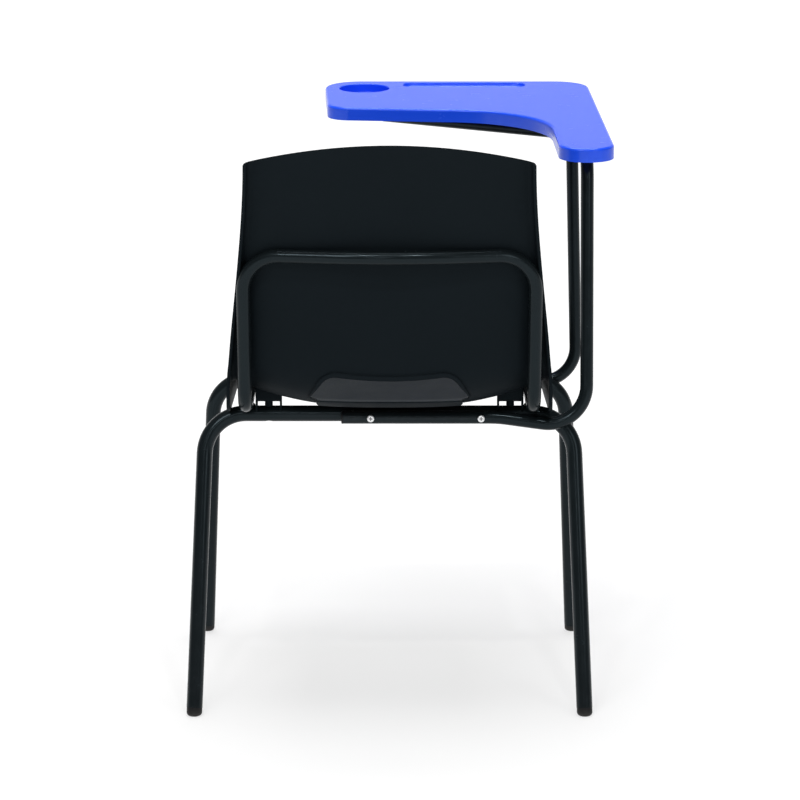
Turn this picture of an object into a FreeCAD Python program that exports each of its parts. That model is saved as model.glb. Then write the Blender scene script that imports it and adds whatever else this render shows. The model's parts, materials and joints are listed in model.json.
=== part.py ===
import FreeCAD, Part
import math
import os

Vector = FreeCAD.Vector

# Student desk chair: a one-piece plastic shell on a welded tube frame, with a bolted
# arm loop on the sitter's right that carries a fixed writing tablet.
# Millimetres. The chair faces -Y, +Z is up, and X = 0 is the chair's centre plane.
# The whole chair is moved at the end so that its origin is the centre of its
# footprint box on the floor.

# ---------------------------------------------------------------- driving sizes
TUBE_WALL = 1.5
LEG_OD = 22.0
LOOP_OD = 19.0
ARM_OD = 18.0
BRACE_OD = 16.0

REAR_FOOT = Vector(268.5, 219.0, 0.0)
REAR_CORNER = Vector(254.0, 110.0, 402.0)
FRONT_FOOT = Vector(277.5, -219.0, 0.0)
FRONT_CORNER = Vector(258.5, -155.0, 402.0)
LEG_BEND = 57.0

CAP_HEIGHT = 11.0
CAP_OD = 21.4
CAP_PLUG_LENGTH = 16.0
CAP_ROUNDING = 5.0

LOOP_HALF_WIDTH = 196.5
LOOP_LEAN = math.radians(8.5)
LOOP_LOW_Y = 180.0
LOOP_TOP_Z = 638.0
LOOP_BOW = 40.0
LOOP_BOW_RADIUS = 420.0
LOOP_CORNER_BEND = 52.0
RAIL_BEND = 32.0
RAIL_FRONT_Y = -182.0
RAIL_Z = REAR_CORNER.z + LEG_OD / 2.0 + LOOP_OD / 2.0

SHELL_THICK = 4.5
SHELL_HALF_WIDTH = 224.0
SHELL_TOP_HALF_WIDTH = 193.0
SHELL_EDGE_RADIUS = 9.0
SHELL_TOP_Z = 789.0
SHELL_TOP_SAG = 25.0
SHELL_TOP_CORNER = 5.0
SHELL_FLANGE_Z = 411.0
SHELL_BACK_FLANGE = 7.0
SHELL_LIP_FLANGE = 14.0
SHELL_BEND_Z = 440.0
SHELL_LIP_BEND = 30.0
SHELL_SEAT_BEND = 75.0
SHELL_BACK_BEND = 500.0
FLAT_STEPS = 10
ROUND_STEPS = 6
FLANGE_STEPS = 4
SLOT_RIM_WIDTH = 8.0
SLOT_RIM_HEIGHT = 2.5
SLOT_CORNER_Z = 436.0
SLOT_LOW_Z = 431.5
SLOT_LIP_HALF_WIDTH = 100.0
SLOT_LIP_LOW_Z = 421.0
SLOT_LIP_HEIGHT = 4.0
SLOT_CUT_Y = 145.0
SLOT_CUT_DEPTH = 100.0
MOUNT_X = 167.0
MOUNT_HALF_WIDTH = 18.0
MOUNT_HALF_DEPTH = 10.5
MOUNT_SADDLE = 5.0
MOUNT_RIB = 2.5
MOUNT_WINDOW = 8.0
MOUNT_TALL = 56.0
MOUNT_BOSS_R = 5.5
MOUNT_HOLE_DEPTH = 26.0

ARM_Z = 400.5
ARM_CUT_X = 64.5
ARM_JOG_X = -150.0
ARM_JOG_BEND = 150.0
ARM_REAR_BEND = 53.0
ARM_FRONT_BEND = 50.0
ARM_TOP_BEND = 38.0
ARM_REAR_LOW = Vector(-271.5, 137.0, 385.0)
ARM_FRONT_LOW = Vector(-277.0, -182.0, 388.0)
ARM_TOP_REAR = (-270.5, 96.0)
ARM_TOP_FRONT = (-266.5, -195.0)

TABLET_TILT = 5.0
TABLET_PIVOT = Vector(0.0, 120.0, 776.0)
TABLET_DEPTH = 19.0
TABLET_PLATE = 4.0
TABLET_SKIRT = 3.0
TABLET_EDGE_RADIUS = 4.0
ARM_RUN_DEPTH = 20.0
BRACE_DEPTH = 28.5
BRACE_START = (-262.0, -105.0)
BRACE_END = (34.0, -262.0)
RUN_SCREW_Y = (38.0, -150.0)
BRACE_SCREW_SHARE = (0.085, 0.93)
CUP_CENTRE = (38.0, -326.0)
CUP_RADIUS = 37.5
CUP_DEPTH = 14.0
GROOVE_X = (-205.0, -21.0)
GROOVE_Y = (-374.0, -338.0)
GROOVE_DEPTH = 6.5
RECESS_WALL = 2.5
RECESS_ROUNDING = 1.6
TABLET_NEAR_Y = 151.0
TABLET_FAR_Y = -389.0
TABLET_RIB = 2.0
TABLET_RIB_DEPTH = 6.0
TABLET_BOSS_R = 8.0

SCREW_R = 2.4
BOLT_R = 2.5
HOLE_GAP = 0.25
HEAD_R = 5.0
HEAD_HEIGHT = 3.2
DRIVER_HOLE_R = 5.8
SEAT_SCREW_REACH = 24.0
NUT_ACROSS = 8.0
NUT_HEIGHT = 4.0
BOLT_X = (26.0, -126.0)

PLUG_HEAD = 2.0
PLUG_LENGTH = 12.0
RAIL_BEAD_R = 4.5
RAIL_BEAD_SPREAD = 6.5
BRACE_BEAD_R = 3.5


# ---------------------------------------------------------------- path helpers
def bent_segments(points, radii, closed=False):
    """Straight and arc pieces of a path whose inner corners are rounded."""
    count = len(points)
    corners = range(count) if closed else range(1, count - 1)
    cuts = {}
    for i in corners:
        here = points[i]
        back = (points[i - 1] - here).normalize()
        ahead = (points[(i + 1) % count] - here).normalize()
        radius = radii[i] if closed else radii[i - 1]
        half = back.getAngle(ahead) / 2.0
        reach = radius / math.tan(half)
        centre = here + (back + ahead).normalize() * (radius / math.sin(half))
        cuts[i] = (here + back * reach, here + ahead * reach, centre)
    pieces = []
    start = cuts[count - 1][1] if closed else points[0]
    order = list(range(count)) if closed else list(range(1, count))
    for i in order:
        end = cuts[i][0] if i in cuts else points[i]
        if (end - start).Length > 1e-4:
            pieces.append(("line", start, end))
        if i in cuts:
            pieces.append(("arc", cuts[i][0], cuts[i][1], cuts[i][2]))
            start = cuts[i][1]
    return pieces


def arc_middle(piece):
    """Point half-way along an arc piece."""
    start, end, centre = piece[1], piece[2], piece[3]
    radius = (start - centre).Length
    return centre + ((start + end) * 0.5 - centre).normalize() * radius


def rounded_wire(points, radii):
    """Closed wire through points with rounded corners."""
    edges = []
    for piece in bent_segments(points, radii, closed=True):
        if piece[0] == "line":
            edges.append(Part.makeLine(piece[1], piece[2]))
        else:
            edges.append(Part.Arc(piece[1], arc_middle(piece), piece[2]).toShape())
    return Part.Wire(Part.__sortEdges__(edges))


def rod(pieces, radius):
    """Round bar along the pieces of a path."""
    solids = []
    for piece in pieces:
        start, end = piece[1], piece[2]
        if piece[0] == "line":
            solids.append(Part.makeCylinder(radius, (end - start).Length, start, end - start))
            continue
        centre = piece[3]
        axis = (start - centre).cross(end - centre)
        angle = math.degrees((start - centre).getAngle(end - centre))
        tangent = axis.cross(start - centre)
        disc = Part.Face(Part.Wire(Part.makeCircle(radius, start, tangent)))
        solids.append(disc.revolve(centre, axis, angle))
    bar = solids[0]
    if len(solids) > 1:
        bar = solids[0].multiFuse(solids[1:])
        bar = bar.removeSplitter()
    return bar


def tube(pieces, outer_d, wall=TUBE_WALL):
    """Round tube with open ends along the pieces of a path."""
    return rod(pieces, outer_d / 2.0).cut(rod(pieces, outer_d / 2.0 - wall))


def head_rise(outer_d):
    """How far above a tube's centre line a screw head sits when it bears on the wall from inside."""
    return math.sqrt((outer_d / 2.0 - TUBE_WALL) ** 2 - HEAD_R ** 2) - 0.05


def hidden_screw_holes(middle, up, outer_d):
    """Screw hole in a tube's upper wall and driver hole in its lower wall."""
    reach = outer_d / 2.0 + 5.0
    return [(middle, up, SCREW_R + HOLE_GAP, reach), (middle, up * -1.0, DRIVER_HOLE_R, reach)]


def drilled(shape, holes):
    """Shape with round holes, each a (point, direction, radius, length)."""
    for point, direction, radius, length in holes:
        shape = shape.cut(Part.makeCylinder(radius, length, point, direction))
    return shape


def mirror_x(point):
    return Vector(-point.x, point.y, point.z)


def prism(wire, direction):
    return Part.Face(wire).extrude(direction)


def group(shapes):
    return Part.makeCompound(shapes)


# ---------------------------------------------------------------- fasteners
def pan_screw(tip, direction, length, radius):
    """Cross-recess pan-head screw: the head's underside is length from the tip."""
    direction = Vector(direction).normalize()
    seat = tip - direction * length
    shank = Part.makeCylinder(radius, length, seat, direction)
    head = Part.makeCylinder(HEAD_R, HEAD_HEIGHT, seat, direction * -1.0)
    rim = [e for e in head.Edges if e.Closed and (e.CenterOfMass - seat).Length > HEAD_HEIGHT * 0.9]
    head = head.makeFillet(HEAD_HEIGHT * 0.55, rim)
    screw = shank.fuse(head).removeSplitter()
    side = direction.cross(Vector(1, 0, 0) if abs(direction.x) < 0.9 else Vector(0, 1, 0)).normalize()
    other = direction.cross(side).normalize()
    outer = seat - direction * HEAD_HEIGHT
    half_long = HEAD_R * 0.52
    half_wide = HEAD_R * 0.12
    for along, across in ((side, other), (other, side)):
        corners = []
        for a, b in ((1, 1), (-1, 1), (-1, -1), (1, -1)):
            corners.append(outer + along * (half_long * a) + across * (half_wide * b))
        corners.append(corners[0])
        screw = screw.cut(prism(Part.makePolygon(corners), direction * (HEAD_HEIGHT * 0.5)))
    return screw


def hex_nut(seat, direction, hole_r):
    """Hexagon nut whose contact face is at seat and which grows along direction."""
    direction = Vector(direction).normalize()
    side = direction.cross(Vector(1, 0, 0)).normalize()
    other = direction.cross(side)
    reach = NUT_ACROSS / 2.0 / math.cos(math.radians(30))
    corners = []
    for k in range(7):
        turn = math.radians(60 * k)
        corners.append(seat + side * (reach * math.cos(turn)) + other * (reach * math.sin(turn)))
    nut = prism(Part.makePolygon(corners), direction * NUT_HEIGHT)
    return nut.cut(Part.makeCylinder(hole_r, NUT_HEIGHT, seat, direction))


# ---------------------------------------------------------------- leg frames
def leg_pieces(foot, corner):
    """Path of one inverted-U leg frame between the tops of its two foot caps."""
    up = (corner - foot).normalize()
    start = foot + up * CAP_HEIGHT
    points = [start, corner, mirror_x(corner), mirror_x(start)]
    return bent_segments(points, [LEG_BEND, LEG_BEND])


def foot_cap(foot, corner):
    """Push-in cap at the lower end of a leg, cut flat where it meets the floor."""
    up = (corner - foot).normalize()
    low = foot - up * CAP_HEIGHT
    body = Part.makeCylinder(CAP_OD / 2.0, CAP_HEIGHT * 2.0, low, up)
    body = body.cut(Part.makeBox(200, 200, 100, foot - Vector(100, 100, 100)))
    lowest = [e for e in body.Edges if e.BoundBox.ZMax < 1e-3]
    body = body.makeFillet(CAP_ROUNDING, lowest)
    plug_r = LEG_OD / 2.0 - TUBE_WALL
    plug = Part.makeCylinder(plug_r, CAP_PLUG_LENGTH, foot + up * CAP_HEIGHT, up)
    hollow = Part.makeCylinder(plug_r - 2.0, CAP_PLUG_LENGTH, foot + up * CAP_HEIGHT, up)
    return body.fuse(plug.cut(hollow)).removeSplitter()


def seat_screw_holes(corner):
    """Holes in a cross tube for the screws of the two shell feet above it."""
    holes = []
    for side in (1, -1):
        holes += hidden_screw_holes(Vector(side * MOUNT_X, corner.y, corner.z), Vector(0, 0, 1), LEG_OD)
    return holes


def arm_bolt_holes(corner):
    """Horizontal holes through a cross tube and the arm tube bolted to it."""
    holes = []
    for x in BOLT_X:
        low = Vector(x, corner.y - 50.0, ARM_Z)
        holes.append((low, Vector(0, 1, 0), BOLT_R + HOLE_GAP, 100.0))
    return holes


def leg_frame(foot, corner):
    frame = tube(leg_pieces(foot, corner), LEG_OD)
    return drilled(frame, seat_screw_holes(corner) + arm_bolt_holes(corner))


# ---------------------------------------------------------------- back loop and rails
def loop_point(x, z, rearward=0.0):
    """Point in the leaning plane of the back loop."""
    return Vector(x, LOOP_LOW_Y + (z - RAIL_Z) * math.tan(LOOP_LEAN) + rearward, z)


def back_loop_pieces():
    """Rails under the seat, leaning uprights and a top bar that bows rearward."""
    w = LOOP_HALF_WIDTH
    points = [Vector(w, RAIL_FRONT_Y, RAIL_Z), loop_point(w, RAIL_Z), loop_point(w, LOOP_TOP_Z)]
    points.append(loop_point(0.0, LOOP_TOP_Z, LOOP_BOW))
    points += [mirror_x(p) for p in reversed(points[:3])]
    radii = [RAIL_BEND, LOOP_CORNER_BEND, LOOP_BOW_RADIUS, LOOP_CORNER_BEND, RAIL_BEND]
    return bent_segments(points, radii)


# ---------------------------------------------------------------- arm loop
def under_tablet(x, y, depth):
    """Point at a depth below the tablet's top plane, at a place in that plane."""
    turn = math.radians(TABLET_TILT)
    along = y - TABLET_PIVOT.y
    return Vector(
        x,
        TABLET_PIVOT.y + along * math.cos(turn) - depth * math.sin(turn),
        TABLET_PIVOT.z - along * math.sin(turn) - depth * math.cos(turn),
    )


def arm_loop_pieces():
    """Rear run, rear upright, top run, front upright and front run of the arm tube."""
    rear_y = REAR_CORNER.y + (LEG_OD + ARM_OD) / 2.0 + 0.1
    front_y = FRONT_CORNER.y - (LEG_OD + ARM_OD) / 2.0 - 0.1
    points = [
        Vector(ARM_CUT_X, rear_y, ARM_Z),
        Vector(ARM_JOG_X, rear_y, ARM_Z),
        ARM_REAR_LOW,
        under_tablet(ARM_TOP_REAR[0], ARM_TOP_REAR[1], ARM_RUN_DEPTH),
        under_tablet(ARM_TOP_FRONT[0], ARM_TOP_FRONT[1], ARM_RUN_DEPTH),
        ARM_FRONT_LOW,
        Vector(ARM_JOG_X, front_y, ARM_Z),
        Vector(ARM_CUT_X, front_y, ARM_Z),
    ]
    radii = [ARM_JOG_BEND, ARM_REAR_BEND, ARM_TOP_BEND, ARM_TOP_BEND, ARM_FRONT_BEND, ARM_JOG_BEND]
    return bent_segments(points, radii)


def brace_ends():
    start = under_tablet(BRACE_START[0], BRACE_START[1], BRACE_DEPTH)
    end = under_tablet(BRACE_END[0], BRACE_END[1], BRACE_DEPTH)
    return start, end


# ---------------------------------------------------------------- plastic shell
def shell_profile():
    """Side profile of the shell's middle surface, front lip to top of the back."""
    points = [
        Vector(0, -236.0, 404.0),
        Vector(0, -230.0, 450.0),
        Vector(0, 192.0, 411.5),
        Vector(0, 216.0, 600.0),
        Vector(0, 263.5, 806.0),
    ]
    return bent_segments(points, [SHELL_LIP_BEND, SHELL_SEAT_BEND, SHELL_BACK_BEND])


def profile_samples():
    """Points and unit normals (towards the sitter) spaced along the side profile."""
    samples = []
    for piece in shell_profile():
        start, end = piece[1], piece[2]
        if piece[0] == "line":
            length = (end - start).Length
            steps = max(2, int(length / 30.0))
            along = (end - start).normalize()
            for k in range(steps):
                samples.append((start + along * (length * k / steps), along))
        else:
            centre = piece[3]
            axis = (start - centre).cross(end - centre).normalize()
            total = (start - centre).getAngle(end - centre)
            steps = max(4, int(math.degrees(total) / 10.0))
            for k in range(steps):
                turn = FreeCAD.Rotation(axis, math.degrees(total * k / steps))
                spoke = turn.multVec(start - centre)
                samples.append((centre + spoke, axis.cross(spoke).normalize()))
    samples.append((end, along))
    result = []
    for point, along in samples:
        result.append((point, Vector(0, -along.z, along.y)))
    return result


def blend(value, low, high):
    """Smooth step from 0 at low to 1 at high."""
    share = min(1.0, max(0.0, (value - low) / (high - low)))
    return share * share * (3.0 - 2.0 * share)


def shell_half_width(point):
    """Outer half width of the shell at a place on its side profile."""
    back = blend(point.z, 380.0, 780.0)
    front = blend(-point.y, 185.0, 240.0)
    lower = blend(point.z, 452.0, 405.0) * front
    taper = (SHELL_HALF_WIDTH - SHELL_TOP_HALF_WIDTH) * back
    return SHELL_HALF_WIDTH - taper - 6.0 * front - 10.0 * lower


def shell_hollow(point):
    """How far the shell's sides stand towards the sitter from its middle."""
    if point.y > 0 and point.z > SHELL_BEND_Z:
        return 44.0 - 20.0 * blend(point.z, 480.0, 760.0)
    return 44.0 - 34.0 * blend(-point.y, -150.0, 215.0)


def shell_flange(point, normal, edge_rise):
    """Length of the turned edge beyond its rounding: level along the seat, short elsewhere."""
    level = point.z + normal.z * edge_rise - SHELL_FLANGE_Z
    if point.y > 0:
        return SHELL_BACK_FLANGE + (level - SHELL_BACK_FLANGE) * blend(normal.z, 0.5, 1.0)
    return level + (SHELL_LIP_FLANGE - level) * blend(-point.y, 150.0, 190.0)


def shell_section(point, normal, offset):
    """Half cross-section of a surface parallel to the shell's middle surface."""
    r = SHELL_EDGE_RADIUS
    hollow = shell_hollow(point)
    half = shell_half_width(point) - SHELL_THICK / 2.0
    lean = math.atan(2.5 * hollow * (half / SHELL_HALF_WIDTH) ** 1.5 / SHELL_HALF_WIDTH)
    flat = half - r * (1.0 + math.sin(lean))
    places = []
    for k in range(FLAT_STEPS + 1):
        x = flat * k / FLAT_STEPS
        rise = hollow * (x / SHELL_HALF_WIDTH) ** 2.5
        slope = 2.5 * hollow * (x / SHELL_HALF_WIDTH) ** 1.5 / SHELL_HALF_WIDTH
        places.append((x, rise, math.atan(slope)))
    edge_turn = places[-1][2]
    centre_x = flat + r * math.sin(edge_turn)
    centre_n = places[-1][1] - r * math.cos(edge_turn)
    for k in range(1, ROUND_STEPS + 1):
        turn = edge_turn - (edge_turn + math.pi / 2.0) * k / ROUND_STEPS
        places.append((centre_x - r * math.sin(turn), centre_n + r * math.cos(turn), turn))
    last = places[-1]
    length = shell_flange(point, normal, last[1])
    for k in range(1, FLANGE_STEPS + 1):
        places.append((last[0], last[1] - length * k / FLANGE_STEPS, last[2]))
    row = []
    for x, rise, turn in places:
        side = x - math.sin(turn) * offset
        out = rise + math.cos(turn) * offset
        row.append(point + Vector(side, 0, 0) + normal * out)
    return row


def shared_spacing(rows):
    """Parameters for a curve through any of the rows, from their average spacing."""
    places = [0.0]
    for k in range(1, len(rows[0])):
        step = sum((row[k] - row[k - 1]).Length for row in rows) / len(rows)
        places.append(places[-1] + step)
    return places


def fitted_curve(points, spacing):
    curve = Part.BSplineCurve()
    curve.interpolate(Points=points, Parameters=spacing)
    return curve


def fitted_surface(rows, across, along):
    """Smooth surface through rows of points, with the spacing of both directions given."""
    curves = [fitted_curve(row, across) for row in rows]
    pole_rows = [curve.getPoles() for curve in curves]
    columns = []
    for k in range(len(pole_rows[0])):
        columns.append(fitted_curve([row[k] for row in pole_rows], along))
    surface = Part.BSplineSurface()
    surface.buildFromPolesMultsKnots(
        [column.getPoles() for column in columns],
        curves[0].getMultiplicities(),
        columns[0].getMultiplicities(),
        curves[0].getKnots(),
        columns[0].getKnots(),
        False,
        False,
        3,
        3,
    )
    return surface.toShape()


def edge_middle(edge):
    return edge.valueAt((edge.FirstParameter + edge.LastParameter) / 2.0)


def edge_near(face, point):
    """The face's edge whose middle is nearest to a point."""
    return min(face.Edges, key=lambda edge: edge_middle(edge).distanceToPoint(point))


def shell_slab(low, high):
    """Solid between two surfaces parallel to the shell's middle surface."""
    faces = []
    samples = profile_samples()
    along = shared_spacing([[point for point, normal in samples]])
    across = None
    for offset in (low, high):
        rows = []
        for point, normal in samples:
            half = shell_section(point, normal, offset)
            rows.append([mirror_x(p) for p in reversed(half[1:])] + half)
        across = across or shared_spacing(rows)
        faces.append(fitted_surface(rows, across, along))
    lower, upper = faces
    for edge in lower.Edges:
        faces.append(Part.makeRuledSurface(edge, edge_near(upper, edge_middle(edge))))
    skin = Part.makeShell(faces)
    skin.sewShape()
    solid = Part.makeSolid(skin)
    if solid.Volume < 0:
        solid.reverse()
    return solid


def top_waste():
    """Space above the shell's arched top edge and round its two upper corners."""
    side_z = SHELL_TOP_Z - SHELL_TOP_SAG
    half = shell_half_width(Vector(0, 250, side_z)) + 0.2
    y = 180.0
    peak = Vector(0, y, SHELL_TOP_Z)
    left = Vector(-half, y, side_z)
    right = Vector(half, y, side_z)
    low = Vector(half + 1.0, y, side_z - 26.0)
    centre = Part.Arc(left, peak, right).toShape().Curve.Center
    spoke = (right - centre).normalize()
    tangent = Vector(spoke.z, 0, -spoke.x)
    down = (low - right).normalize()
    reach = SHELL_TOP_CORNER * math.tan(tangent.getAngle(down) / 2.0)
    on_side = right + down * reach
    on_arch = right - tangent * reach
    turn = (down - tangent).normalize()
    middle = right + turn * (SHELL_TOP_CORNER / math.cos(tangent.getAngle(down) / 2.0) - SHELL_TOP_CORNER)
    top = Part.Arc(mirror_x(on_arch), peak, on_arch).toShape()
    corner = Part.Arc(on_arch, middle, on_side).toShape()
    corner_mirrored = Part.Arc(mirror_x(on_arch), mirror_x(middle), mirror_x(on_side)).toShape()
    outside = [on_side, low, Vector(260, y, low.z), Vector(260, y, 860), Vector(-260, y, 860)]
    outside += [Vector(-260, y, low.z), mirror_x(low), mirror_x(on_side)]
    lines = [Part.makeLine(p, q) for p, q in zip(outside[:-1], outside[1:])]
    return prism(Part.Wire(Part.__sortEdges__([top, corner, corner_mirrored] + lines)), Vector(0, 140, 0))


def slot_wire(grow, y):
    """Outline of the slot between seat and back, grown at its top and sides for the rim."""
    points = [
        Vector(-99.0, y, SLOT_LOW_Z),
        Vector(99.0, y, SLOT_LOW_Z),
        Vector(109.0 + grow * 0.3, y, SLOT_CORNER_Z),
        Vector(84.0 + grow * 0.6, y, 470.0 + grow),
        Vector(0.0, y, 461.0 + grow * 0.8),
        Vector(-84.0 - grow * 0.6, y, 470.0 + grow),
        Vector(-109.0 - grow * 0.3, y, SLOT_CORNER_Z),
    ]
    return rounded_wire(points, [5.0, 5.0, 2.0, 22.0 + grow, 480.0, 22.0 + grow, 2.0])


def slot_rim():
    """Lip that stands proud of the shell's rear face over the slot."""
    outer = prism(slot_wire(SLOT_RIM_WIDTH, SLOT_CUT_Y), Vector(0, SLOT_CUT_DEPTH, 0))
    inner = prism(slot_wire(0.0, SLOT_CUT_Y), Vector(0, SLOT_CUT_DEPTH, 0))
    proud = shell_slab(-SHELL_THICK / 2.0 - SLOT_RIM_HEIGHT, -SHELL_THICK / 4.0)
    return proud.common(outer.cut(inner))


def slot_lip():
    """Thickened bead along the slot's lower edge, with rounded ends."""
    half = SLOT_LIP_HALF_WIDTH
    high = SLOT_LOW_Z + 1.0
    points = [
        Vector(-half, SLOT_CUT_Y, SLOT_LIP_LOW_Z),
        Vector(half, SLOT_CUT_Y, SLOT_LIP_LOW_Z),
        Vector(half, SLOT_CUT_Y, high),
        Vector(-half, SLOT_CUT_Y, high),
    ]
    region = prism(rounded_wire(points, [5.0] * 4), Vector(0, SLOT_CUT_DEPTH, 0))
    proud = shell_slab(-SHELL_THICK / 2.0 - SLOT_LIP_HEIGHT, -SHELL_THICK / 4.0)
    return proud.common(region)


def middle_height(x, y):
    """Height of the shell's middle surface over a place on the seat."""
    for piece in shell_profile():
        start, end = piece[1], piece[2]
        if piece[0] == "line" and end.y > 0 > start.y:
            share = (y - start.y) / (end.y - start.y)
            point = start + (end - start) * share
            return point.z + shell_hollow(point) * (abs(x) / SHELL_HALF_WIDTH) ** 2.5
    return 0.0


def above_plane(x, y):
    """Block resting on the plane that follows the middle surface over a mounting foot."""
    a = Vector(x - 15.0, y, middle_height(x - 15.0, y))
    b = Vector(x + 15.0, y, middle_height(x + 15.0, y))
    c = Vector(x, y + 10.0, middle_height(x, y + 10.0))
    d = Vector(x, y - 10.0, middle_height(x, y - 10.0))
    normal = (b - a).cross(c - d).normalize()
    block = Part.makeBox(120, 120, 80, Vector(-60, -60, 0))
    block.Placement = FreeCAD.Placement((a + b) * 0.5, FreeCAD.Rotation(Vector(0, 0, 1), normal))
    return block


def mount_foot(x, corner):
    """Ribbed box with a screw boss that stands on a cross tube."""
    low = corner.z
    y = corner.y
    parts = []
    for side in (-1, 1):
        inner = x + side * (MOUNT_HALF_WIDTH - MOUNT_RIB / 2.0) - MOUNT_RIB / 2.0
        start = Vector(inner, y - MOUNT_HALF_DEPTH, low + MOUNT_SADDLE)
        parts.append(Part.makeBox(MOUNT_RIB, 2 * MOUNT_HALF_DEPTH, MOUNT_TALL, start))
        wall_y = y + side * (MOUNT_HALF_DEPTH - MOUNT_RIB / 2.0) - MOUNT_RIB / 2.0
        window_z = low + LEG_OD / 2.0 + MOUNT_WINDOW
        start = Vector(x - MOUNT_HALF_WIDTH, wall_y, window_z)
        parts.append(Part.makeBox(2 * MOUNT_HALF_WIDTH, MOUNT_RIB, MOUNT_TALL, start))
    parts.append(Part.makeCylinder(MOUNT_BOSS_R, MOUNT_TALL, Vector(x, y, low), Vector(0, 0, 1)))
    start = Vector(x - MOUNT_HALF_WIDTH, y - MOUNT_RIB / 2.0, low + LEG_OD / 2.0 + MOUNT_WINDOW)
    parts.append(Part.makeBox(2 * MOUNT_HALF_WIDTH, MOUNT_RIB, MOUNT_TALL, start))
    foot = parts[0].multiFuse(parts[1:])
    foot = foot.cut(Part.makeCylinder(LEG_OD / 2.0, 400.0, Vector(-200 + x, y, low), Vector(1, 0, 0)))
    foot = foot.cut(above_plane(x, y))
    hole = Part.makeCylinder(SCREW_R, MOUNT_HOLE_DEPTH, Vector(x, y, low), Vector(0, 0, 1))
    return foot.cut(hole)


def seat_shell():
    """One-piece seat and back with turned edges, slot and four mounting feet."""
    body = shell_slab(-SHELL_THICK / 2.0, SHELL_THICK / 2.0)
    body = body.fuse(slot_rim())
    body = body.fuse(slot_lip())
    body = body.cut(prism(slot_wire(0.0, SLOT_CUT_Y), Vector(0, SLOT_CUT_DEPTH, 0)))
    body = body.cut(top_waste())
    feet = []
    for corner in (REAR_CORNER, FRONT_CORNER):
        for side in (1, -1):
            feet.append(mount_foot(side * MOUNT_X, corner))
    return body.multiFuse(feet)


# ---------------------------------------------------------------- writing tablet
def tablet_wire(inset, z):
    """Outline of the tablet, drawn inset from its edge, at a height below its top."""
    i = inset
    points = [
        Vector(-305.8 + i, TABLET_NEAR_Y - i, z),
        Vector(-230.5 - i, TABLET_NEAR_Y - i, z),
        Vector(-227.0 - i, -134.0 - i, z),
        Vector(89.5 - i, -163.5 - i, z),
        Vector(99.0 - i, TABLET_FAR_Y + i, z),
        Vector(-300.0 + i, TABLET_FAR_Y + i, z),
    ]
    return rounded_wire(points, [37.0 - i, 37.0 - i, 150.0 + i, 34.0 - i, 54.0 - i, 50.0 - i])


def stadium(x_range, y_range, inset, z):
    """Oblong outline with rounded ends."""
    x0, x1 = x_range[0] + inset, x_range[1] - inset
    y0, y1 = y_range[0] + inset, y_range[1] - inset
    points = [Vector(x0, y0, z), Vector(x1, y0, z), Vector(x1, y1, z), Vector(x0, y1, z)]
    radius = min(14.0, (y1 - y0) / 2.0 - 0.2)
    return rounded_wire(points, [radius] * 4)


def edges_at(shape, z):
    return [e for e in shape.Edges if abs(e.BoundBox.ZMin - z) < 1e-3 and abs(e.BoundBox.ZMax - z) < 1e-3]


def tablet_screw_places():
    """Place in the tablet's plane, and tube depth, of each tablet screw."""
    places = []
    for y in RUN_SCREW_Y:
        share = (y - ARM_TOP_REAR[1]) / (ARM_TOP_FRONT[1] - ARM_TOP_REAR[1])
        x = ARM_TOP_REAR[0] + (ARM_TOP_FRONT[0] - ARM_TOP_REAR[0]) * share
        places.append((x, y, ARM_RUN_DEPTH, ARM_OD))
    for share in BRACE_SCREW_SHARE:
        x = BRACE_START[0] + (BRACE_END[0] - BRACE_START[0]) * share
        y = BRACE_START[1] + (BRACE_END[1] - BRACE_START[1]) * share
        places.append((x, y, BRACE_DEPTH, BRACE_OD))
    return places


def tilted(shape):
    """Shape drawn flat around the tablet's pivot line, set at the tablet's tilt."""
    shape = shape.copy()
    shape.translate(Vector(0, -TABLET_PIVOT.y, 0))
    shape.rotate(Vector(0, 0, 0), Vector(1, 0, 0), -TABLET_TILT)
    shape.translate(TABLET_PIVOT)
    return shape


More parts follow.
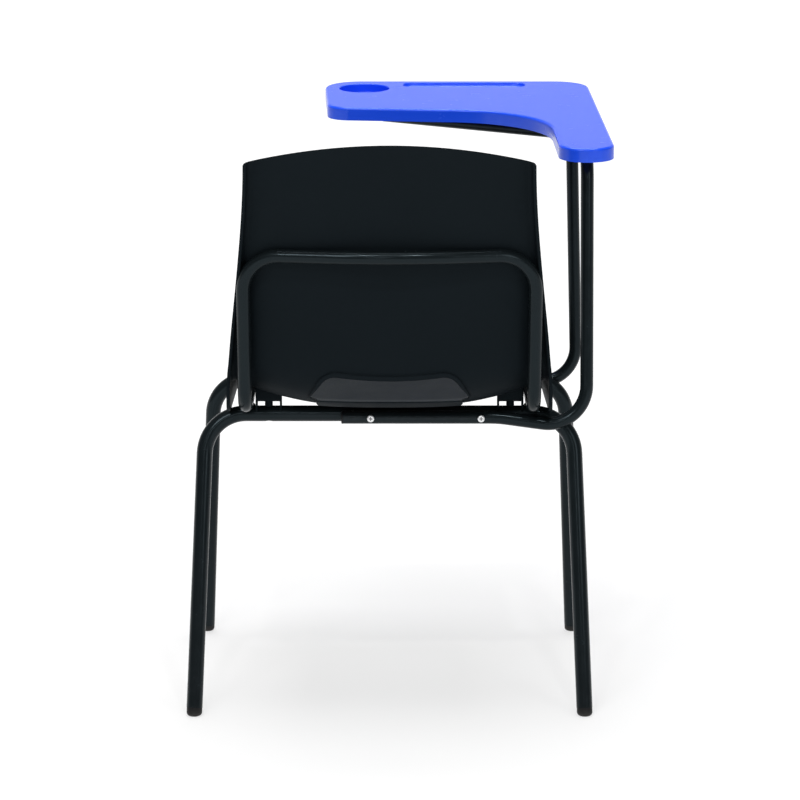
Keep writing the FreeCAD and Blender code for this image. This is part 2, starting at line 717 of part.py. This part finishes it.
def writing_tablet(tubes):
    """Moulded tray with rounded rim, cup recess, pen groove, ribs and screw bosses."""
    body = prism(tablet_wire(0.0, 0.0), Vector(0, 0, -TABLET_DEPTH))
    body = body.makeFillet(TABLET_EDGE_RADIUS, edges_at(body, 0.0))
    body = body.cut(prism(tablet_wire(TABLET_SKIRT, -TABLET_PLATE), Vector(0, 0, -TABLET_DEPTH)))
    inside = prism(tablet_wire(TABLET_SKIRT / 2.0, -TABLET_PLATE / 2.0), Vector(0, 0, -TABLET_DEPTH))
    extras = []
    cup_x, cup_y = CUP_CENTRE
    start = Vector(cup_x, cup_y, -CUP_DEPTH - RECESS_WALL)
    extras.append(Part.makeCylinder(CUP_RADIUS + RECESS_WALL, CUP_DEPTH, start, Vector(0, 0, 1)))
    trough = stadium(GROOVE_X, GROOVE_Y, -RECESS_WALL, -1.0)
    extras.append(prism(trough, Vector(0, 0, 1.0 - GROOVE_DEPTH - RECESS_WALL)))
    rib_z = -TABLET_PLATE - TABLET_RIB_DEPTH
    rib_height = TABLET_RIB_DEPTH + TABLET_PLATE / 2.0
    for k in range(6):
        start = Vector(-190.0 + 52.0 * k, -400.0, rib_z)
        extras.append(Part.makeBox(TABLET_RIB, 500.0, rib_height, start))
    for k in range(4):
        start = Vector(-310.0, -330.0 + 62.0 * k, rib_z)
        extras.append(Part.makeBox(500.0, TABLET_RIB, rib_height, start))
    for x, y, depth, tube_d in tablet_screw_places():
        reach = depth - tube_d / 2.0 + 3.0
        start = Vector(x, y, -reach)
        extras.append(Part.makeCylinder(TABLET_BOSS_R, reach - 1.0, start, Vector(0, 0, 1)))
    inner = extras[0].multiFuse(extras[1:])
    bosses = []
    for x, y, depth, tube_d in tablet_screw_places():
        bosses.append(Part.makeCylinder(TABLET_BOSS_R, 40.0, Vector(x, y, -42.0), Vector(0, 0, 1)))
    allowed = inside.multiFuse(bosses)
    body = body.fuse(inner.common(allowed)).removeSplitter()
    cup = Part.makeCylinder(CUP_RADIUS, CUP_DEPTH + 5.0, Vector(cup_x, cup_y, -CUP_DEPTH), Vector(0, 0, 1))
    cup = cup.makeFillet(3.0, edges_at(cup, -CUP_DEPTH))
    body = body.cut(cup)
    trough = prism(stadium(GROOVE_X, GROOVE_Y, 0.0, 5.0), Vector(0, 0, -5.0 - GROOVE_DEPTH))
    trough = trough.makeFillet(5.5, edges_at(trough, -GROOVE_DEPTH))
    body = body.cut(trough)
    rims = []
    for edge in edges_at(body, 0.0):
        box = edge.BoundBox
        in_cup = abs(box.Center.x - cup_x) < 5 and box.XLength < 90
        in_groove = box.YMin > GROOVE_Y[0] - 1 and box.YMax < GROOVE_Y[1] + 1 and box.XMax < -10
        if in_cup or in_groove:
            rims.append(edge)
    body = body.makeFillet(RECESS_ROUNDING, rims)
    for x, y, depth, tube_d in tablet_screw_places():
        reach = depth - tube_d / 2.0 + 5.0
        hole = Part.makeCylinder(SCREW_R, reach - TABLET_PLATE + 1.0, Vector(x, y, -reach), Vector(0, 0, 1))
        body = body.cut(hole)
    body = tilted(body)
    for one in tubes:
        body = body.cut(one)
    return body


# ---------------------------------------------------------------- assembly
def bead(place, radius, solids):
    """Weld bead: what is left of a small ball between two tubes."""
    ball = Part.makeSphere(radius, place)
    for solid in solids:
        ball = ball.cut(solid)
    return max(ball.Solids, key=lambda s: s.Volume)


def end_plug(end, inward, outer_d):
    """Push-in plug that closes a cut tube end."""
    inward = Vector(inward).normalize()
    inner_r = outer_d / 2.0 - TUBE_WALL
    head = Part.makeCylinder(outer_d / 2.0, PLUG_HEAD, end - inward * PLUG_HEAD, inward)
    outer_rim = [e for e in head.Edges if (e.CenterOfMass - end).Length > PLUG_HEAD * 0.9]
    head = head.makeFillet(PLUG_HEAD * 0.6, outer_rim)
    return head.fuse(Part.makeCylinder(inner_r, PLUG_LENGTH, end, inward)).removeSplitter()


def build():
    parts = {}
    feet = {
        "rear_left": (REAR_FOOT, REAR_CORNER),
        "rear_right": (mirror_x(REAR_FOOT), mirror_x(REAR_CORNER)),
        "front_left": (FRONT_FOOT, FRONT_CORNER),
        "front_right": (mirror_x(FRONT_FOOT), mirror_x(FRONT_CORNER)),
    }
    parts["rear_leg_frame"] = leg_frame(REAR_FOOT, REAR_CORNER)
    parts["front_leg_frame"] = leg_frame(FRONT_FOOT, FRONT_CORNER)
    for name, (foot, corner) in feet.items():
        parts[name + "_foot_cap"] = foot_cap(foot, corner)

    loop = back_loop_pieces()
    parts["back_loop"] = tube(loop, LOOP_OD)
    for name, piece in (("left", loop[0]), ("right", loop[-1])):
        front = piece[1] if name == "left" else piece[2]
        parts[name + "_rail_plug"] = end_plug(front, Vector(0, 1, 0), LOOP_OD)

    arm = arm_loop_pieces()
    arm_bar = rod(arm, ARM_OD / 2.0)
    start, end = brace_ends()
    brace_line = [("line", start, end)]
    brace_bar = rod(brace_line, BRACE_OD / 2.0)
    parts["arm_loop"] = tube(arm, ARM_OD)
    for corner in (REAR_CORNER, FRONT_CORNER):
        parts["arm_loop"] = drilled(parts["arm_loop"], arm_bolt_holes(corner))
    parts["tablet_brace"] = tube(brace_line, BRACE_OD).cut(arm_bar)
    parts["tablet_brace"] = max(parts["tablet_brace"].Solids, key=lambda s: s.Volume)

    up = under_tablet(0, 0, 0) - under_tablet(0, 0, 1)
    screws = []
    for x, y, depth, tube_d in tablet_screw_places():
        tip = under_tablet(x, y, TABLET_PLATE + 2.0)
        length = depth - head_rise(tube_d) - TABLET_PLATE - 2.0
        screws.append(pan_screw(tip, up, length, SCREW_R))
        name = "arm_loop" if tube_d == ARM_OD else "tablet_brace"
        parts[name] = drilled(parts[name], hidden_screw_holes(under_tablet(x, y, depth), up, tube_d))
    parts["tablet_screws"] = group(screws)
    parts["brace_end_plug"] = end_plug(end, start - end, BRACE_OD)
    rear_y = arm[0][1].y
    front_y = arm[-1][2].y
    parts["rear_arm_plug"] = end_plug(Vector(ARM_CUT_X, rear_y, ARM_Z), Vector(-1, 0, 0), ARM_OD)
    parts["front_arm_plug"] = end_plug(Vector(ARM_CUT_X, front_y, ARM_Z), Vector(-1, 0, 0), ARM_OD)

    parts["seat_shell"] = seat_shell()
    parts["writing_tablet"] = writing_tablet([arm_bar, brace_bar])

    rear_bolts = []
    front_bolts = []
    nuts = []
    for x in BOLT_X:
        for y, corner, sign, bolts in (
            (rear_y, REAR_CORNER, 1.0, rear_bolts),
            (front_y, FRONT_CORNER, -1.0, front_bolts),
        ):
            head_y = y + sign * ARM_OD / 2.0
            nut_y = corner.y - sign * (LEG_OD / 2.0)
            tip = Vector(x, nut_y - sign * (NUT_HEIGHT + 2.0), ARM_Z)
            bolts.append(pan_screw(tip, Vector(0, -sign, 0), abs(head_y - tip.y), BOLT_R))
            nuts.append(hex_nut(Vector(x, nut_y, ARM_Z), Vector(0, -sign, 0), BOLT_R))
    parts["rear_arm_bolts"] = group(rear_bolts)
    parts["front_arm_bolts"] = group(front_bolts)
    parts["arm_bolt_nuts"] = group(nuts)

    for name, corner in (("rear", REAR_CORNER), ("front", FRONT_CORNER)):
        screws = []
        for side in (1, -1):
            tip = Vector(side * MOUNT_X, corner.y, corner.z + SEAT_SCREW_REACH)
            screws.append(pan_screw(tip, Vector(0, 0, 1), SEAT_SCREW_REACH - head_rise(LEG_OD), SCREW_R))
        parts[name + "_seat_screws"] = group(screws)

    rear_bar = rod(leg_pieces(REAR_FOOT, REAR_CORNER), LEG_OD / 2.0)
    front_bar = rod(leg_pieces(FRONT_FOOT, FRONT_CORNER), LEG_OD / 2.0)
    loop_bar = rod(loop, LOOP_OD / 2.0)
    for name, bar, corner in (("rear", rear_bar, REAR_CORNER), ("front", front_bar, FRONT_CORNER)):
        beads = []
        for side in (1, -1):
            for shift in (RAIL_BEAD_SPREAD, -RAIL_BEAD_SPREAD):
                x = side * LOOP_HALF_WIDTH + shift
                place = Vector(x, corner.y, corner.z + LEG_OD / 2.0)
                beads.append(bead(place, RAIL_BEAD_R, [bar, loop_bar]))
        parts[name + "_rail_welds"] = group(beads)
    along = (end - start).normalize()
    beads = []
    for turn in (90, 270):
        side = FreeCAD.Rotation(along, turn).multVec(Vector(0, 0, 1)).normalize()
        place = start + along * 1.5 + side * (BRACE_OD / 2.0)
        beads.append(bead(place, BRACE_BEAD_R, [arm_bar, brace_bar]))
    parts["brace_welds"] = group(beads)
    return parts


def main():
    parts = build()
    box = Part.makeCompound(list(parts.values())).optimalBoundingBox()
    shift = Vector(-box.Center.x, -box.Center.y, -box.ZMin)
    os.makedirs("parts", exist_ok=True)
    for name, shape in parts.items():
        placed = shape.copy()
        placed.translate(shift)
        placed.exportStep("parts/" + name + ".step")
        state = "ok" if placed.isValid() else "INVALID"
        print(name, len(placed.Solids), "solids", round(placed.Volume / 1000.0, 2), "cm3", state)
    print("origin shift", [round(v, 2) for v in shift])
    print("size", round(box.XLength, 1), round(box.YLength, 1), round(box.ZLength, 1))


main()
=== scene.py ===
import json
import math

import bmesh
import bpy
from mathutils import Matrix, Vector

# Student desk chair: looks, floor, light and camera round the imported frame.
# Metres, in the frame of the CAD model: the chair faces -Y and +Z is up.

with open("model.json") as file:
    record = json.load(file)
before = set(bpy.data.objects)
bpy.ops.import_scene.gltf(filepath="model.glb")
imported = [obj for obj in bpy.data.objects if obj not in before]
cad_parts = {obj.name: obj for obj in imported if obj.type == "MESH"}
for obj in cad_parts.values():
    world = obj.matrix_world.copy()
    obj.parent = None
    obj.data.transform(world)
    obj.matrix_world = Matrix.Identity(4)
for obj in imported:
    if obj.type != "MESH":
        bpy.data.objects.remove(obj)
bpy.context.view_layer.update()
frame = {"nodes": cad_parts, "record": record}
nodes = frame["nodes"]

# ---------------------------------------------------------------- sizes and colours
# The camera's place, seen from the middle of the four feet.
CAMERA_FROM_FEET = Vector((0.0, 4.0371, 1.1841))
CAMERA_PITCH = math.radians(11.0)
CAMERA_LENS = 130.05
CAMERA_SHIFT = 0.0131

TABLET_BLUE = (0.010, 0.068, 0.72, 1.0)
FRAME_BLACK = (0.0056, 0.0080, 0.0092, 1.0)
SHELL_BLACK = (0.0042, 0.0062, 0.0078, 1.0)
CAP_BLACK = (0.006, 0.0065, 0.007, 1.0)
ZINC = (0.86, 0.87, 0.89, 1.0)
# Painted shade: the colour of the zinc deep in the driver recess, where occlusion darkens it.
RECESS_PAINTED_SHADE = (0.05, 0.05, 0.055, 1.0)
RECESS_REACH = 0.003
COOL_GLOSS = (0.70, 0.90, 1.0, 1.0)
TABLET_GLOSS = (0.82, 1.0, 1.0, 1.0)
# Painted highlight: lighter black laid along the frame's convex edges.
PAINTED_EDGE_HIGHLIGHT_BLACK = (0.02, 0.022, 0.024, 1.0)
# Painted highlight: lighter, cyan-tinted blue laid along the tablet's convex edges.
PAINTED_EDGE_HIGHLIGHT_BLUE = (0.05, 0.14, 0.92, 1.0)
FLOOR_DUST = (0.06, 0.058, 0.055, 1.0)
CAP_SCUFF_HEIGHT = 0.012

# The pale floor, which turns up into a wall behind the chair and glows a little.
FLOOR_ALBEDO = 0.35
FLOOR_HALF_WIDTH = 40.0
FLOOR_FRONT_Y = 40.0
WALL_Y = -5.0
WALL_TOP_Z = 5.0
WALL_CURVE = 1.5
WALL_CURVE_STEPS = 12
GLOW_BY_DISTANCE = (0.4, 3.6, 0.62, 0.92)
GLOW_BY_HEIGHT = (0.9, 2.2, 1.0, 0.36)

# Soft lights, all turned to the chair's middle: name, place, size in metres, watts.
CHAIR_MIDDLE = (0.0, 0.0, 0.5)
LIGHTS = (
    ("key_softbox", (1.2, 2.9, 2.6), (0.8, 0.8), 26.0),
    ("fill_softbox", (-1.8, 2.6, 1.5), (0.8, 1.2), 10.0),
    ("top_softbox", (0.0, -0.2, 3.2), (2.0, 1.8), 90.0),
    ("front_softbox", (0.0, -2.2, 3.6), (2.0, 1.2), 15.0),
    ("strip_softbox", (0.3, 4.8, 1.9), (0.3, 0.8), 6.0),
    ("left_lamp", (-0.45, 2.3, 3.1), (0.12, 0.12), 14.0),
    ("right_lamp", (0.45, 2.3, 3.1), (0.12, 0.12), 14.0),
)
WORLD_STRENGTH = 0.15


# ---------------------------------------------------------------- materials
class Graph:
    """Short names for building a node material."""

    def __init__(self, name):
        self.material = bpy.data.materials.new(name)
        self.material.use_nodes = True
        self.tree = self.material.node_tree
        self.shader = self.tree.nodes["Principled BSDF"]
        self.place = self.node("ShaderNodeTexCoord").outputs["Object"]

    def node(self, kind, **values):
        made = self.tree.nodes.new(kind)
        for key, value in values.items():
            setattr(made, key, value)
        return made

    def link(self, source, target):
        self.tree.links.new(source, target)

    def feed(self, socket, value):
        """Give a socket a fixed value, or link it to another node's output."""
        if isinstance(value, bpy.types.NodeSocket):
            self.link(value, socket)
        else:
            socket.default_value = value

    def map_range(self, source, limits, smooth=False):
        """Map source from limits' first two numbers to its last two."""
        made = self.node("ShaderNodeMapRange")
        if smooth:
            made.interpolation_type = "SMOOTHSTEP"
        for name, value in zip(("From Min", "From Max", "To Min", "To Max"), limits):
            made.inputs[name].default_value = value
        self.link(source, made.inputs["Value"])
        return made.outputs["Result"]

    def height(self):
        """Height above the floor."""
        made = self.node("ShaderNodeSeparateXYZ")
        self.link(self.place, made.inputs["Vector"])
        return made.outputs["Z"]

    def noise(self, scale, detail=3.0, roughness=0.5, stretch=None):
        texture = self.node("ShaderNodeTexNoise")
        texture.inputs["Scale"].default_value = scale
        texture.inputs["Detail"].default_value = detail
        texture.inputs["Roughness"].default_value = roughness
        source = self.place
        if stretch:
            mapping = self.node("ShaderNodeMapping")
            mapping.inputs["Scale"].default_value = stretch
            self.link(self.place, mapping.inputs["Vector"])
            source = mapping.outputs["Vector"]
        self.link(source, texture.inputs["Vector"])
        return texture.outputs["Fac"]

    def ramp(self, source, stops):
        """Colour or grey steps along a value: (place, colour) pairs."""
        made = self.node("ShaderNodeValToRGB")
        ramp = made.color_ramp
        while len(ramp.elements) < len(stops):
            ramp.elements.new(0.5)
        for element, (place, colour) in zip(ramp.elements, stops):
            element.position = place
            element.color = colour if len(colour) == 4 else (*colour, 1.0)
        self.link(source, made.inputs["Fac"])
        return made.outputs["Color"]

    def grey_range(self, source, low, high):
        return self.map_range(source, (0.0, 1.0, low, high))

    def grey_ramp(self, source, start, low, end, high):
        """Grey that goes from low at start to high at end."""
        return self.ramp(source, [(start, (low,) * 3), (end, (high,) * 3)])

    def mix(self, share, first, second):
        made = self.node("ShaderNodeMix", data_type="RGBA")
        for name, value in (("Factor", share), ("A", first), ("B", second)):
            self.feed([socket for socket in made.inputs if socket.name == name and socket.enabled][0], value)
        return [socket for socket in made.outputs if socket.enabled][0]

    def multiply(self, first, second):
        made = self.node("ShaderNodeMath", operation="MULTIPLY")
        for socket, value in zip(made.inputs, (first, second)):
            self.feed(socket, value)
        return made.outputs["Value"]

    def edge_share(self, low, high):
        """1 on sharp convex edges and 0 on flat faces."""
        geometry = self.node("ShaderNodeNewGeometry")
        return self.map_range(geometry.outputs["Pointiness"], (low, high, 0.0, 1.0))

    def bump(self, layers, rounding=0.0):
        """Bumps stacked on one another: (height, distance, strength), over edges of a soft radius."""
        normal = None
        if rounding:
            bevel = self.node("ShaderNodeBevel", samples=6)
            bevel.inputs["Radius"].default_value = rounding
            normal = bevel.outputs["Normal"]
        for height, distance, strength in layers:
            made = self.node("ShaderNodeBump")
            made.inputs["Distance"].default_value = distance
            made.inputs["Strength"].default_value = strength
            self.link(height, made.inputs["Height"])
            if normal:
                self.link(normal, made.inputs["Normal"])
            normal = made.outputs["Normal"]
        self.link(normal, self.shader.inputs["Normal"])

    def set(self, **values):
        for key, value in values.items():
            self.feed(self.shader.inputs[key.replace("_", " ")], value)


def lighter(colour, factor):
    return (*[min(1.0, c * factor) for c in colour[:3]], 1.0)


def powder_coat():
    """Gloss black powder coat: faint orange peel, dust and a painted highlight in patches along convex edges."""
    g = Graph("powder_coat_black")
    blotch = g.noise(9.0, 4.0)
    # Painted highlight: convex edges, in noisy patches, are lightened towards the highlight colour.
    edge_highlight = g.multiply(g.edge_share(0.56, 0.66), g.noise(120.0, 4.0))
    base = g.mix(blotch, lighter(FRAME_BLACK, 0.8), lighter(FRAME_BLACK, 1.35))
    g.set(Base_Color=g.mix(edge_highlight, base, PAINTED_EDGE_HIGHLIGHT_BLACK))
    dust = g.grey_ramp(g.noise(55.0, 5.0, 0.6), 0.35, 0.16, 0.75, 0.30)
    g.set(Roughness=dust, Specular_IOR_Level=0.19, Specular_Tint=COOL_GLOSS)
    g.bump([(g.noise(420.0, 2.0), 0.0004, 0.06), (g.noise(1500.0, 2.0), 0.0001, 0.04)], 0.0008)
    return g.material


def grained_shell():
    """Matte polypropylene with a fine leather-like moulded grain."""
    g = Graph("shell_polypropylene")
    cloud = g.noise(5.0, 5.0)
    fine = g.noise(900.0, 2.0)
    base = g.mix(cloud, lighter(SHELL_BLACK, 0.85), lighter(SHELL_BLACK, 1.2))
    g.set(Base_Color=g.mix(g.multiply(fine, 0.35), base, lighter(SHELL_BLACK, 2.0)))
    g.set(Roughness=g.grey_range(g.noise(24.0, 5.0, 0.6), 0.48, 0.62))
    g.set(Specular_IOR_Level=0.07, Specular_Tint=COOL_GLOSS)
    cells = g.node("ShaderNodeTexVoronoi")
    cells.inputs["Scale"].default_value = 1100.0
    g.link(g.place, cells.inputs["Vector"])
    g.bump([(g.noise(160.0, 3.0), 0.0006, 0.10), (cells.outputs["Distance"], 0.00025, 0.30)], 0.004)
    return g.material


def blue_abs():
    """Glossy blue ABS with a faint moulded texture and slight scuffs on the top."""
    g = Graph("tablet_abs_blue")
    cloud = g.noise(6.0, 4.0)
    base = g.mix(cloud, lighter(TABLET_BLUE, 0.93), lighter(TABLET_BLUE, 1.08))
    # Painted highlight: convex edges are lightened a third of the way towards the highlight blue.
    edge_highlight = g.multiply(g.edge_share(0.54, 0.66), 0.35)
    g.set(Base_Color=g.mix(edge_highlight, base, PAINTED_EDGE_HIGHLIGHT_BLUE))
    scuff = g.noise(30.0, 6.0, 0.65, stretch=(1.0, 6.0, 1.0))
    g.set(Roughness=g.grey_ramp(scuff, 0.3, 0.20, 0.7, 0.28))
    g.set(Specular_IOR_Level=0.32, Specular_Tint=TABLET_GLOSS)
    g.set(Subsurface_Weight=0.06, Subsurface_Radius=(0.002, 0.003, 0.008), Subsurface_Scale=0.5)
    g.bump([(g.noise(90.0, 3.0), 0.0003, 0.02), (g.noise(1400.0, 2.0), 0.0001, 0.015)], 0.0006)
    return g.material


def cap_plastic():
    """Black polyethylene of the foot caps and tube plugs, scuffed grey where it meets the floor."""
    g = Graph("cap_polyethylene")
    near_floor = g.map_range(g.height(), (CAP_SCUFF_HEIGHT, 0.0, 0.0, 1.0))
    scuff = g.multiply(near_floor, g.noise(260.0, 5.0, 0.65))
    g.set(Base_Color=g.mix(scuff, CAP_BLACK, FLOOR_DUST))
    g.set(Roughness=g.grey_range(g.noise(80.0, 4.0), 0.45, 0.60), Specular_IOR_Level=0.2)
    g.bump([(g.noise(600.0, 3.0), 0.0003, 0.25)])
    return g.material


def zinc_plate():
    """Bright zinc plate with a fine turned grain, dull blotches and painted shade in the driver recess."""
    g = Graph("zinc_plate")
    blotch = g.noise(500.0, 4.0)
    # Painted shade: ambient occlusion darkens the base colour inside the driver recess.
    hollow = g.node("ShaderNodeAmbientOcclusion", samples=8, only_local=True)
    hollow.inputs["Distance"].default_value = RECESS_REACH
    unshaded = g.grey_ramp(hollow.outputs["AO"], 0.45, 0.0, 0.85, 1.0)
    plate = g.mix(blotch, lighter(ZINC, 0.8), lighter(ZINC, 1.15))
    g.set(Base_Color=g.mix(unshaded, RECESS_PAINTED_SHADE, plate), Metallic=1.0)
    g.set(Roughness=g.grey_range(g.noise(1200.0, 3.0), 0.30, 0.50))
    g.bump([(g.noise(2500.0, 2.0), 0.00005, 0.25)])
    return g.material


MAKERS = {
    "frame_black": powder_coat,
    "cap_black": cap_plastic,
    "shell_black": grained_shell,
    "tablet_blue": blue_abs,
    "zinc": zinc_plate,
}


def paint_nodes():
    made = {slot: maker() for slot, maker in MAKERS.items()}
    for part in frame["record"]["subparts"]:
        mesh = nodes[part["node"]].data
        mesh.materials.clear()
        mesh.materials.append(made[part["material_slot"]])


# ---------------------------------------------------------------- stage
def floor_profile():
    """Side view of the floor and wall as (y, z) points, with a quarter circle between them."""
    line = [(FLOOR_FRONT_Y, 0.0), (WALL_Y + WALL_CURVE, 0.0)]
    for step in range(1, WALL_CURVE_STEPS + 1):
        turn = math.radians(90.0 * step / WALL_CURVE_STEPS)
        line.append((WALL_Y + WALL_CURVE - WALL_CURVE * math.sin(turn), WALL_CURVE - WALL_CURVE * math.cos(turn)))
    line.append((WALL_Y, WALL_TOP_Z))
    return line


def pale_floor():
    """Matte floor paint with a soft glow that is weaker near the chair and high up the wall."""
    g = Graph("floor_pale")
    g.set(Base_Color=(FLOOR_ALBEDO, FLOOR_ALBEDO, FLOOR_ALBEDO, 1.0), Roughness=0.85, Specular_IOR_Level=0.1)
    away = g.node("ShaderNodeVectorMath", operation="LENGTH")
    g.link(g.place, away.inputs[0])
    glow = g.map_range(away.outputs["Value"], GLOW_BY_DISTANCE, smooth=True)
    fade = g.map_range(g.height(), GLOW_BY_HEIGHT, smooth=True)
    g.set(Emission_Color=(1.0, 1.0, 1.0, 1.0), Emission_Strength=g.multiply(glow, fade))
    return g.material


def floor_and_wall():
    mesh = bmesh.new()
    sides = (-FLOOR_HALF_WIDTH, FLOOR_HALF_WIDTH)
    rows = [[mesh.verts.new((x, y, z)) for x in sides] for y, z in floor_profile()]
    for first, second in zip(rows[:-1], rows[1:]):
        face = mesh.faces.new((first[0], first[1], second[1], second[0]))
        face.smooth = True
    data = bpy.data.meshes.new("floor")
    mesh.to_mesh(data)
    mesh.free()
    data.materials.append(pale_floor())
    floor = bpy.data.objects.new("floor", data)
    bpy.context.scene.collection.objects.link(floor)


def area_light(name, place, size, power):
    data = bpy.data.lights.new(name, "AREA")
    data.shape = "RECTANGLE"
    data.size, data.size_y = size
    data.energy = power
    light = bpy.data.objects.new(name, data)
    light.location = Vector(place)
    light.rotation_euler = (Vector(CHAIR_MIDDLE) - Vector(place)).to_track_quat("-Z", "Y").to_euler()
    bpy.context.scene.collection.objects.link(light)


def lights():
    for name, place, size, power in LIGHTS:
        area_light(name, place, size, power)
    world = bpy.data.worlds.new("studio")
    world.use_nodes = True
    background = world.node_tree.nodes["Background"]
    background.inputs["Color"].default_value = (1.0, 1.0, 1.0, 1.0)
    background.inputs["Strength"].default_value = WORLD_STRENGTH
    bpy.context.scene.world = world


def feet_middle():
    """Point on the floor midway between the four foot caps."""
    corners = []
    for name, piece in nodes.items():
        if name.endswith("_foot_cap"):
            corners += [piece.matrix_world @ Vector(corner) for corner in piece.bound_box]
    xs = [corner.x for corner in corners]
    ys = [corner.y for corner in corners]
    return Vector(((min(xs) + max(xs)) / 2.0, (min(ys) + max(ys)) / 2.0, 0.0))


def camera():
    data = bpy.data.cameras.new("camera")
    data.lens = CAMERA_LENS
    data.sensor_width = 36.0
    data.shift_x = CAMERA_SHIFT
    made = bpy.data.objects.new("camera", data)
    made.location = feet_middle() + CAMERA_FROM_FEET
    made.rotation_euler = (math.radians(90.0) - CAMERA_PITCH, 0.0, math.radians(180.0))
    bpy.context.scene.collection.objects.link(made)
    bpy.context.scene.camera = made


paint_nodes()
floor_and_wall()
lights()
camera()
bpy.context.scene.view_settings.view_transform = "Standard"
